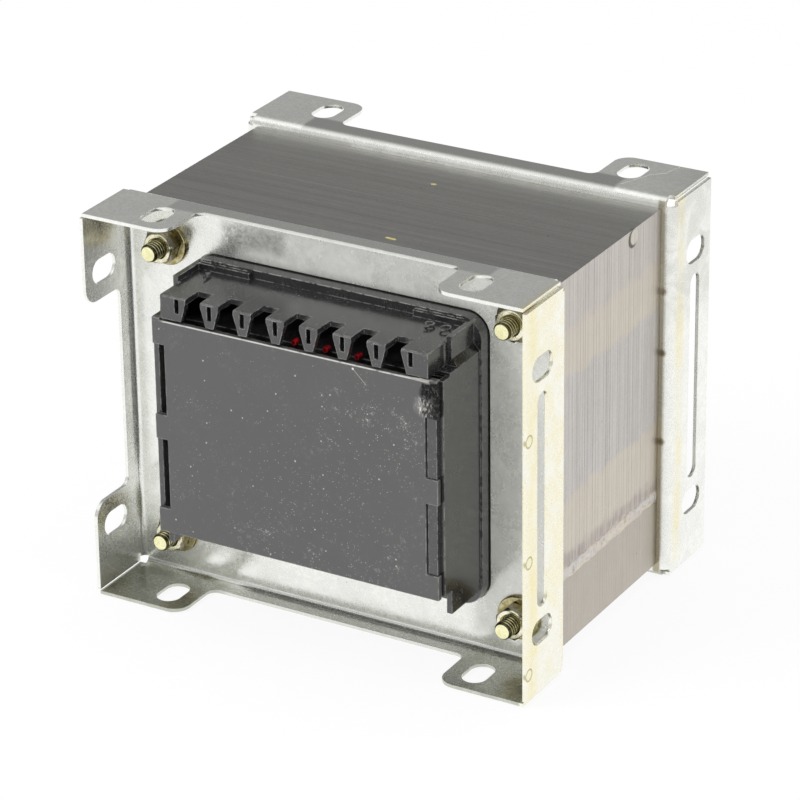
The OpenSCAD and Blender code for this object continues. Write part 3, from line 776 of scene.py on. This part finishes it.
def weld_beads():
    """A low rippled bead along each side, where the two stacks meet."""
    shape = Shape()
    low, high = node_box("core_welds")
    proud = high[0] - half
    rows = 340
    ripple_pitch = 1.15
    run_out = 0.8
    root = half - 1.0
    for side in (-1, 1):
        loops = []
        for row in range(rows + 1):
            y = low[1] + (high[1] - low[1]) * row / rows
            width = 2.0 + 0.35 * noise.noise(Vector((y * 0.35, side * 7, 0)))
            middle = seam + 0.3 * noise.noise(Vector((y * 0.2, side * 3, 5)))
            loop = []
            for step in range(13):
                share = step / 6 - 1
                phase = (y + 0.9 * share * share) / ripple_pitch
                ripple = 0.8 + 0.2 * abs(math.sin(math.pi * phase))
                end = min(1.0, (y - low[1]) / run_out, (high[1] - y) / run_out)
                rise = proud * ripple * max(0.0, 1 - share * share) ** 0.6 * end
                loop.append((side * (half - 0.12 + rise), y, middle + width * share))
            loop.append((side * root, y, middle + width))
            loop.append((side * root, y, middle - width))
            loops.append(loop)
        shape.loops(loops)
    shape.piece("weld_seams", WELD, ("core_welds",))


weld_beads()


# ---- through bolts, nuts and washers ----

THREAD_PITCH = 1.0
THREAD_LENGTH = 15.0
RINGS_A_TURN = 8
SHANK_RADIUS = 2.45
FLATS = 8.0
NUT_BORE = 2.54
WASHER_HOLE = 2.65


def bolt(corner, number):
    """Threaded bolt with a chamfered hexagon head at the rear and a chamfered end at the front."""
    centre = bolt_centre(corner)
    low, high = node_box("bolt_" + corner)
    seat = node_box("rear_washer_" + corner)[1][1]
    turn = math.radians(17 * number)
    segments = 48
    crown = FLATS * 0.46
    thread_start = low[1] + THREAD_LENGTH

    def head(angle):
        return hexagon_radius(angle, turn)

    loops = [
        round_ring(centre, 0.9, high[1], segments),
        round_ring(centre, crown, high[1], segments),
        ring(centre, head, lambda angle: high[1] - 0.25 - 0.55 * (head(angle) - crown), segments),
        ring(centre, head, lambda angle: seat + 0.05, segments),
        ring(centre, lambda angle: head(angle) - 0.05, lambda angle: seat, segments),
        round_ring(centre, SHANK_RADIUS, seat, segments),
        round_ring(centre, SHANK_RADIUS, thread_start + 0.6, segments),
    ]
    steps = int((thread_start - low[1]) / THREAD_PITCH * RINGS_A_TURN)
    for step in range(steps + 1):
        depth = thread_start - step * THREAD_PITCH / RINGS_A_TURN
        left = depth - low[1]

        def thread(angle, depth=depth, left=left):
            phase = (depth / THREAD_PITCH + angle / (2 * math.pi)) % 1
            ridge = 1 - abs(2 * phase - 1)
            cut = 0.46 * (1 - min(1.0, ridge * 1.35))
            return min(SHANK_RADIUS - cut, 1.95 + left * 0.85)

        loops.append(ring(centre, thread, lambda angle, depth=depth: depth, segments))
    loops.append(round_ring(centre, 1.87, low[1], segments))
    shape = Shape()
    shape.loops(loops)
    shape.piece("threaded_bolt_" + corner, BOLT_ZINC, ("bolt_" + corner,), sharp=50.0)


def nut(corner, number):
    """Hexagon nut, chamfered on both faces and countersunk round the thread."""
    centre = bolt_centre(corner)
    low, high = node_box("nut_" + corner)
    turn = math.radians(31 * number + 9)
    segments = 72
    crown = FLATS * 0.47

    def side(angle):
        return hexagon_radius(angle, turn)

    def fall(angle):
        return 0.58 * (side(angle) - crown)

    loops = [
        round_ring(centre, NUT_BORE, low[1] + 0.5, segments),
        round_ring(centre, NUT_BORE + 0.36, low[1], segments),
        round_ring(centre, crown, low[1], segments),
        ring(centre, side, lambda angle: low[1] + 0.12 + fall(angle), segments),
        ring(centre, side, lambda angle: high[1] - 0.12 - fall(angle), segments),
        round_ring(centre, crown, high[1], segments),
        round_ring(centre, NUT_BORE, high[1], segments),
    ]
    shape = Shape()
    shape.loops(loops, closed=True)
    shape.piece("chamfered_nut_" + corner, NUT_ZINC, ("nut_" + corner,), sharp=25.0)


def washer(name):
    """Stamped washer: one rounded rim, one sharp."""
    low, high = node_box(name)
    centre = ((low[0] + high[0]) / 2, (low[2] + high[2]) / 2)
    radius = (high[0] - low[0]) / 2
    outward = FRONT if high[1] < 0 else REAR
    face, back = (low[1], high[1]) if outward == FRONT else (high[1], low[1])
    profile = [(WASHER_HOLE, back), (WASHER_HOLE, face - 0.15 * outward), (WASHER_HOLE + 0.15, face)]
    for step in range(7):
        angle = math.pi / 2 * step / 6
        profile.append((radius - 0.5 + 0.5 * math.sin(angle), face - 0.5 * outward * (1 - math.cos(angle))))
    profile.append((radius, back))
    shape = Shape()
    shape.loops([round_ring(centre, r, y, 72) for r, y in profile], closed=True)
    shape.piece("stamped_" + name, WASHER_ZINC, (name,), sharp=30.0)


for number, corner in enumerate(CORNERS):
    bolt(corner, number)
    nut(corner, number)
    washer("front_washer_" + corner)
    washer("rear_washer_" + corner)


# ---- winding and leads ----


def rounded_loop(half_x, half_y, corner, height, steps=8):
    """Rounded rectangle round Z at a height."""
    loop = []
    for quarter, (sx, sy) in enumerate(((1, 1), (-1, 1), (-1, -1), (1, -1))):
        for step in range(steps + 1):
            angle = math.pi / 2 * (quarter + step / steps)
            loop.append((sx * (half_x - corner) + corner * math.cos(angle),
                         sy * (half_y - corner) + corner * math.sin(angle), height))
    return loop


def taped_winding():
    """Winding wrapped in three overlapping turns of tape."""
    half_x = winding_high[0]
    half_y = winding_high[1]
    low = winding_low[2]
    high = winding_high[2]
    bobbin_gap = 1.75
    corner = 5.8
    inner_x = leg + bobbin_gap
    inner_y = core_high[1] + bobbin_gap
    loops = [rounded_loop(inner_x, inner_y, 0.4, low)]
    bands = 3
    for band in range(bands):
        start = low + (high - low) * band / bands
        end = low + (high - low) * (band + 1) / bands
        for share, inset in ((0.0, 0.35), (0.03, 0.05), (0.5, 0.0), (0.96, 0.05), (1.0, 0.3)):
            loops.append(rounded_loop(half_x - inset, half_y - inset, corner, start + (end - start) * share))
    loops.append(rounded_loop(inner_x, inner_y, 0.4, high))
    shape = Shape()
    shape.loops(loops, closed=True)
    shape.piece("taped_winding", TAPE, ("winding",))


def lead_sleeves():
    """Three short red sleeves with open ends on the bobbin flange."""
    low, high = node_box("lead_ends")
    radius = (high[2] - low[2]) / 2
    pitch = (high[0] - low[0] - 2 * radius) / 2
    shape = Shape()
    for lead in range(3):
        middle = low[0] + radius - 1.4 + pitch * 0.94 * lead
        loops = []
        for step in range(13):
            y = high[1] - (high[1] - low[1]) * (0.3 + 0.38 * step / 12)
            wave = 0.04 * math.sin(step * 1.7 + lead)
            loops.append(round_ring((middle, low[2] + radius), radius - 0.04 + wave, y, 24))
        loops.append(round_ring((middle, low[2] + radius), radius * 0.62, y + 0.02, 24))
        loops.append(round_ring((middle, low[2] + radius), radius * 0.6, y + 0.8, 24))
        shape.loops(loops)
    shape.piece("red_lead_sleeves", RED, ("lead_ends",))


taped_winding()
lead_sleeves()


# ---- small mouldings on the hoods and covers ----


def tube(shape, path, radius, sides=8):
    """Bar of round section along a path; it has flat ends."""
    loops = []
    for index, point in enumerate(path):
        before = Vector(path[max(index - 1, 0)])
        after = Vector(path[min(index + 1, len(path) - 1)])
        along = (after - before).normalized()
        up = Vector((0, 0, 1)) if abs(along.z) < 0.9 else Vector((0, 1, 0))
        side = along.cross(up).normalized()
        top = side.cross(along)
        size = radius(index / (len(path) - 1)) if callable(radius) else radius
        loops.append([tuple(Vector(point) + size * (math.cos(a) * side + math.sin(a) * top))
                      for a in (2 * math.pi * k / sides for k in range(sides))])
    shape.loops(loops)


DIGITS = {
    "0": [[(0.5 + 0.5 * math.sin(t), 0.5 - 0.5 * math.cos(t)) for t in
           (2 * math.pi * k / 28 for k in range(29))]],
    "9": [[(0.5 + 0.45 * math.sin(t), 0.7 - 0.3 * math.cos(t)) for t in
           (2 * math.pi * k / 24 for k in range(25))],
          [(0.94, 0.72), (0.95, 0.5), (0.86, 0.25), (0.62, 0.06), (0.3, 0.0)]],
    "1": [[(0.1, 0.75), (0.5, 1.0), (0.5, 0.5), (0.5, 0.0)]],
}
LATCH_SIDE = 38.0
collar_front = core_high[1] + 4.6


def hood_digits(name, side):
    """Raised position numbers near both ends of a hood top, read from outside."""
    shape = Shape()
    for text, x in (("1", -33.4), ("9", 30.3), ("0", 35.0)):
        for stroke in DIGITS[text]:
            tube(shape, [(-side * (x + 2.5 * (across - 0.5)),
                          side * (collar_front + 5.2 - 3.2 * (up - 0.5)), HOOD_TOP)
                         for across, up in stroke], 0.24)
    shape.piece(name, HOOD_PLASTIC, sharp=60.0)


def latch_ribs(name, side):
    """Short upright rib on each end of the terminal row, rounded at its top."""
    shape = Shape()
    y = side * (collar_front + 11.3)
    for end in (-1, 1):
        x = end * LATCH_SIDE
        path = [(x, y, window_top + 1.2), (x, y, HOOD_TOP - 1.6), (x - end * 0.1, y, HOOD_TOP - 1.0),
                (x - end * 0.35, y, HOOD_TOP - 0.7)]
        tube(shape, path, 0.62, 12)
    shape.piece(name, HOOD_PLASTIC, sharp=50.0)


def slot_back():
    """Upright inner edge of the front hood, close behind the cover's right edge slots."""
    shape = Shape()
    near = cover_low[1] + 0.5
    far = near + 3.6
    left = cover_high[0] - 3.1
    right = cover_high[0] - 0.45
    rows = []
    for z, inset in ((cover_low[2] + 2.0, 0.3), (cover_low[2] + 2.3, 0.0),
                     (window_top - 4.3, 0.0), (window_top - 4.0, 0.3)):
        rows.append([(left + inset, near + inset, z), (right - inset, near + inset, z),
                     (right - inset, far, z), (left + inset, far, z)])
    shape.loops(rows)
    shape.piece("front_hood_slot_back", HOOD_PLASTIC, sharp=30.0)


def melted_corner():
    """The front cover's upper right corner, melted to a lumpy crater, with a run along the top edge."""
    shape = Shape()
    face = cover_low[1]
    columns = 26
    rows = 44
    left = 36.2
    right = cover_high[0] + 0.12
    low = 74.4
    high = cover_high[2] - 0.5
    loops = []
    for row in range(rows + 1):
        v = row / rows
        z = low + (high - low) * v
        line = []
        for column in range(columns + 1):
            u = column / columns
            x = left + (right - left) * u
            rim = min(1.0, u * 5, (1 - u) * 30, v * 5, (1 - v) * 14)
            lump = noise.noise(Vector((x * 0.9, z * 0.7, 3.1)))
            lump += 0.5 * noise.noise(Vector((x * 2.4, z * 2.1, 8)))
            line.append((x, face + 0.12 - rim * (0.3 + 0.45 * lump), z))
        loops.append(line + [(line[-1][0], face + 1.5, z), (line[0][0], face + 0.7, z)])
    shape.loops(loops)
    run = []
    run_start = 26.5
    run_length = 12.2
    run_steps = 40
    for step in range(run_steps + 1):
        x = run_start + run_length * (step / run_steps)
        run.append((x, face + 0.35 + 0.25 * noise.noise(Vector((x * 0.5, 0, 1))),
                    window_top - 0.15 + 0.2 * noise.noise(Vector((x * 0.7, 4, 0)))))
    tube(shape, run, lambda share: 0.1 + 0.38 * min(1.0, share * 1.3) ** 2, 12)
    shape.piece("melted_cover_corner", MELTED_PLASTIC, sharp=70.0)


for side, end in ((FRONT, "front"), (REAR, "rear")):
    hood_digits(end + "_hood_digits", side)
    latch_ribs(end + "_hood_ribs", side)
slot_back()
melted_corner()


# ---- finishes and softened edges of the remaining solids ----


def dress(name, material, edge):
    """Gives a solid its finish and rounds its edges by so many millimetres."""
    node = NODES[name]
    for holder in node.material_slots:
        holder.material = material
    weld = node.modifiers.new("join_corners", "WELD")
    weld.merge_threshold = 1e-6
    flat = node.modifiers.new("join_flats", "DECIMATE")
    flat.decimate_type = "DISSOLVE"
    flat.angle_limit = math.radians(0.3)
    rounded = node.modifiers.new("soft_edges", "BEVEL")
    rounded.width = edge * MM
    rounded.segments = 2
    rounded.limit_method = "ANGLE"
    rounded.angle_limit = math.radians(32)
    rounded.use_clamp_overlap = True
    even = node.modifiers.new("even_shading", "WEIGHTED_NORMAL")
    even.keep_sharp = True
    even.weight = 100


dress("bobbin", BOBBIN_PLASTIC, 0.1)
for end in ("front", "rear"):
    dress(end + "_frame", ZINC, 0.14)
    dress(end + "_hood", HOOD_PLASTIC, 0.09)
    dress(end + "_cover", COVER_PLASTIC, 0.12)


# ---- floor, light and camera ----


def white_floor():
    """Pale floor: plain white to the camera and in reflections, with the object's own soft shadow."""
    mesh = bpy.data.meshes.new("studio_floor")
    mesh.from_pydata([(-6, -6, -0.0003), (6, -6, -0.0003), (6, 6, -0.0003), (-6, 6, -0.0003)], [],
                     [(0, 1, 2, 3)])
    material = bpy.data.materials.new("floor_white")
    material.use_nodes = True
    tree = Tree(material.node_tree)
    material.node_tree.nodes.clear()
    path = tree.add("ShaderNodeLightPath").outputs
    lit = tree.add("ShaderNodeBsdfDiffuse", {"Color": (0.93, 0.93, 0.93, 1)}).outputs[0]
    glow = tree.add("ShaderNodeEmission", {"Color": (1, 1, 1, 1), "Strength": 1.0}).outputs[0]
    seen = tree.math("MAXIMUM", tree.math("MULTIPLY", path["Is Camera Ray"], 0.9),
                     tree.math("MAXIMUM", path["Is Glossy Ray"], path["Is Transmission Ray"]))
    mixed = tree.add("ShaderNodeMixShader")
    tree.put(mixed.inputs[0], seen)
    tree.put(mixed.inputs[1], lit)
    tree.put(mixed.inputs[2], glow)
    out = tree.add("ShaderNodeOutputMaterial")
    tree.put(out.inputs[0], mixed.outputs[0])
    mesh.materials.append(material)
    floor = bpy.data.objects.new("studio_floor", mesh)
    bpy.context.scene.collection.objects.link(floor)


def studio_world():
    """White to the camera, even light, and a grey room above the floor in reflections."""
    world = bpy.data.worlds.new("studio_room")
    bpy.context.scene.world = world
    world.use_nodes = True
    tree = Tree(world.node_tree)
    world.node_tree.nodes.clear()
    path = tree.add("ShaderNodeLightPath").outputs
    direction = tree.add("ShaderNodeTexCoord").outputs["Generated"]
    parts = tree.add("ShaderNodeSeparateXYZ", {"Vector": direction}).outputs
    # Bright ceiling, grey walls: darkest on the right, where no lamp stands near
    behind = tree.span(parts[1], -0.3, 0.5)
    rightward = tree.span(parts[0], -0.2, 0.35)
    walls = tree.mix(rightward, (0.55, 0.55, 0.55, 1), (0.2, 0.2, 0.2, 1))
    walls = tree.mix(tree.span(parts[2], 0.5, 0.75), walls, (1, 1, 1, 1))
    room = tree.mix(behind, walls, (0.26, 0.26, 0.26, 1))
    even = (0.52, 0.52, 0.52, 1)
    colour = tree.mix(path["Is Glossy Ray"], even, room)
    colour = tree.mix(path["Is Camera Ray"], colour, (1, 1, 1, 1))
    shade = tree.add("ShaderNodeBackground", {"Color": colour, "Strength": 1.0})
    out = tree.add("ShaderNodeOutputWorld")
    tree.put(out.inputs[0], shade.outputs[0])


def soft_lamp(name, place, target, size, power):
    """Square softbox aimed at a point; only the room and the floor show in reflections."""
    data = bpy.data.lights.new(name, "AREA")
    data.shape = "SQUARE"
    data.size = size
    data.energy = power
    lamp = bpy.data.objects.new(name, data)
    lamp.location = place
    lamp.rotation_euler = (Vector(target) - Vector(place)).to_track_quat("-Z", "Y").to_euler()
    lamp.visible_glossy = False
    bpy.context.scene.collection.objects.link(lamp)


def studio_camera():
    """Long lens above and to the right of the terminal side."""
    data = bpy.data.cameras.new("studio_camera")
    data.lens = 178.903
    data.sensor_width = 36.0
    data.clip_start = 0.05
    data.clip_end = 30.0
    camera = bpy.data.objects.new("studio_camera", data)
    right = Vector((0.86529476, 0.50110296, -0.01268099))
    up = Vector((-0.20098185, 0.37000495, 0.90702957))
    back = Vector((0.45920723, -0.78229928, 0.42087594))
    turn = Matrix((right, up, back)).transposed().to_4x4()
    camera.matrix_world = Matrix.Translation((0.47062, -0.80231, 0.48093)) @ turn
    bpy.context.scene.collection.objects.link(camera)
    bpy.context.scene.camera = camera


white_floor()
studio_world()
soft_lamp("lamp_front_left", (-0.9, -1.0, 1.1), (0, 0, 0.05), 0.9, 15.0)
soft_lamp("lamp_overhead", (0.1, 0.2, 1.6), (0, 0, 0.05), 1.0, 8.0)
soft_lamp("lamp_right", (1.4, -0.3, 0.7), (0, 0, 0.05), 0.8, 6.0)
studio_camera()
bpy.context.scene.view_settings.view_transform = "Standard"
